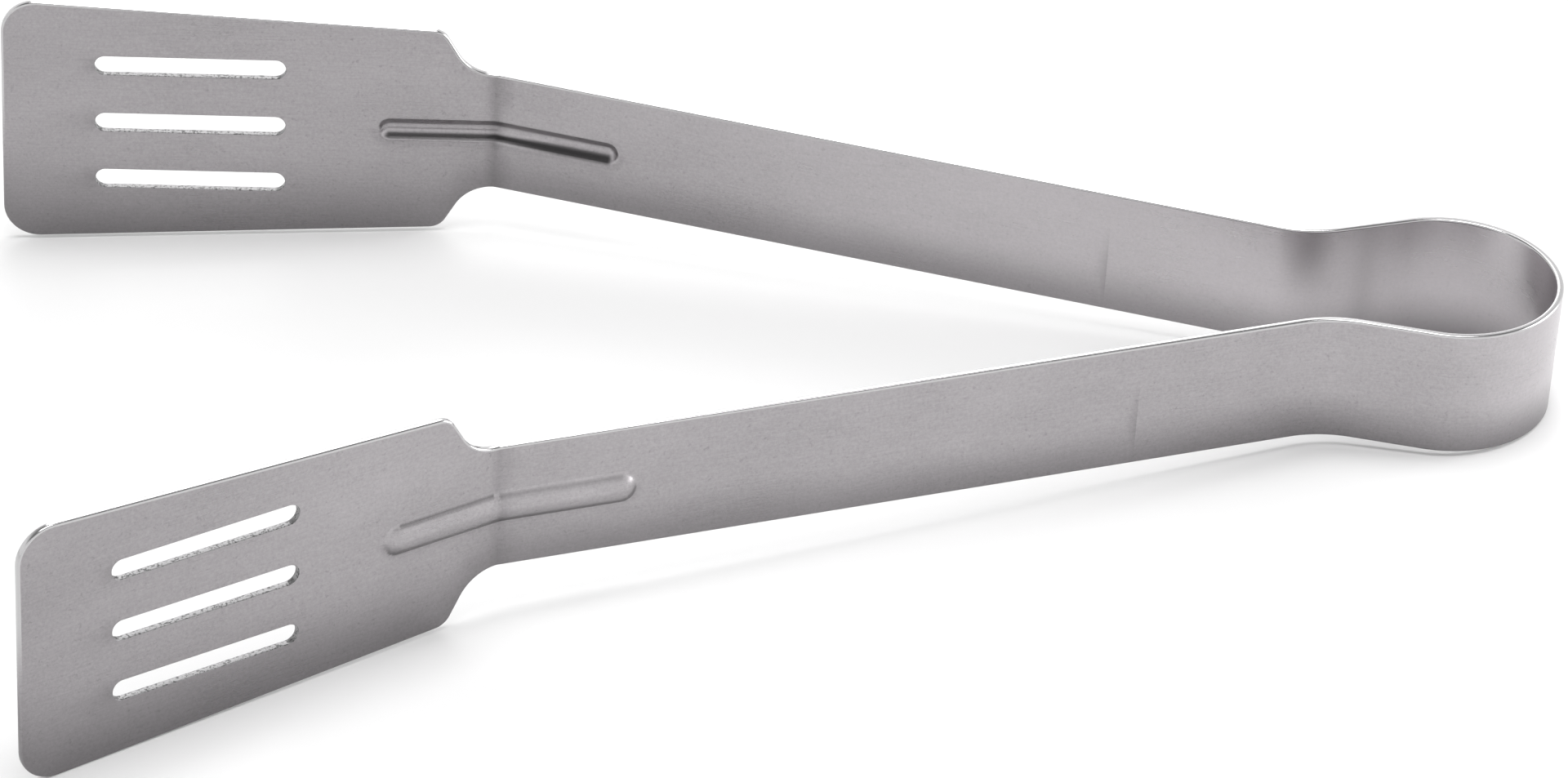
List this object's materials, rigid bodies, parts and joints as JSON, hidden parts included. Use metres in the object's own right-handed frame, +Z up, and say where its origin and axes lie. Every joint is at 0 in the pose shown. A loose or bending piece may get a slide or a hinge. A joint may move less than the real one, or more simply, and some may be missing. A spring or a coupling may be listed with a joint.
{
  "type": "slotted spatula tongs",
  "caption": "One-piece steel serving tongs: a spring bow, two arms and cranked slotted spatula blades that close tip to tip.",
  "frame": {"origin": "centre of the tongs' footprint on the surface they stand on, edge down", "axes": "+X towards the back of the bow, +Y towards the rear arm, +Z up across the width of the strip"},
  "size_m": [0.2609, 0.1608, 0.0468],
  "materials": {
    "spring_steel": "fine-rolled satin stainless steel, bright on the deburred edges"
  },
  "bodies": {
    "bow_crown": {"bow_crown": "spring_steel"},
    "front_neck": {"front_bow_leg": "spring_steel", "front_neck": "spring_steel"},
    "front_arm": {"front_arm": "spring_steel", "front_blade": "spring_steel"},
    "rear_neck": {"rear_bow_leg": "spring_steel", "rear_neck": "spring_steel"},
    "rear_arm": {"rear_arm": "spring_steel", "rear_blade": "spring_steel"}
  },
  "joints": [
    {"name": "rear_bow_flex", "type": "hinge", "parent": "bow_crown", "child": "rear_neck", "pos_m": [0.12246, 0.03233, 0.01162], "axis": [0.049, 0, 0.9988], "range_deg": [0, 9.75], "stiffness_Nm_per_rad": 20.1},
    {"name": "rear_arm_flex", "type": "hinge", "parent": "rear_neck", "child": "rear_arm", "pos_m": [0.0802, 0.03442, 0.01369], "axis": [0.049, 0, 0.9988], "range_deg": [0, 9.42], "stiffness_Nm_per_rad": 12.3},
    {"name": "front_bow_flex", "type": "hinge", "parent": "bow_crown", "child": "front_neck", "pos_m": [0.12246, 0.00552, 0.01162], "axis": [0.049, 0, 0.9988], "range_deg": [-9.77, 0], "stiffness_Nm_per_rad": 20.1},
    {"name": "front_arm_flex", "type": "hinge", "parent": "front_neck", "child": "front_arm", "pos_m": [0.08073, 0.00374, 0.01367], "axis": [0.049, 0, 0.9988], "range_deg": [-9.42, 0], "stiffness_Nm_per_rad": 12.3}
  ],
  "couplings": [
    {"joint": "rear_arm_flex", "follows": "rear_bow_flex", "ratio": 0.9641},
    {"joint": "front_bow_flex", "follows": "rear_bow_flex", "ratio": -1},
    {"joint": "front_arm_flex", "follows": "rear_bow_flex", "ratio": -0.9641}
  ]
}
